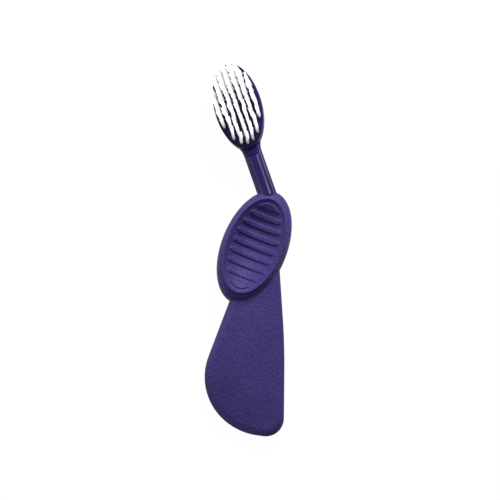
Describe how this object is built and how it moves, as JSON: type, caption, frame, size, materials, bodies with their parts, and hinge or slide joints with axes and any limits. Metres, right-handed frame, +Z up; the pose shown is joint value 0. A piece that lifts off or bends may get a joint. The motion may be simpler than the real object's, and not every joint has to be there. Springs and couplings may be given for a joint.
{
  "type": "manual toothbrush",
  "caption": "Manual toothbrush with a wide oval tufted head, a slim ridged neck and a broad soft paddle grip with a dished, ribbed thumb rest.",
  "frame": {"origin": "On the flat back of the grip, under the middle of the thumb rest.", "axes": "+Z is up, out of the flat back and towards the bristles. +Y runs along the brush towards the head. +X is to the right when the bristles face the viewer and the head is up."},
  "size_m": [0.0371, 0.1613, 0.022],
  "materials": {
    "core": "smooth, semi-gloss dark purple moulding",
    "grip": "matte dark purple elastomer with a fine leathery grain",
    "bristles": "white nylon filaments with rounded tips",
    "staples": "flat drawn wire"
  },
  "bodies": {
    "root": {"hard_core": "core", "soft_grip": "grip", "tuft_row_1": "bristles", "tuft_row_2": "bristles", "tuft_row_3": "bristles", "tuft_row_4": "bristles", "tuft_row_5": "bristles", "tuft_row_6": "bristles", "tuft_row_7": "bristles", "staple_row_1": "staples", "staple_row_2": "staples", "staple_row_3": "staples", "staple_row_4": "staples", "staple_row_5": "staples", "staple_row_6": "staples", "staple_row_7": "staples"}
  },
  "joints": []
}
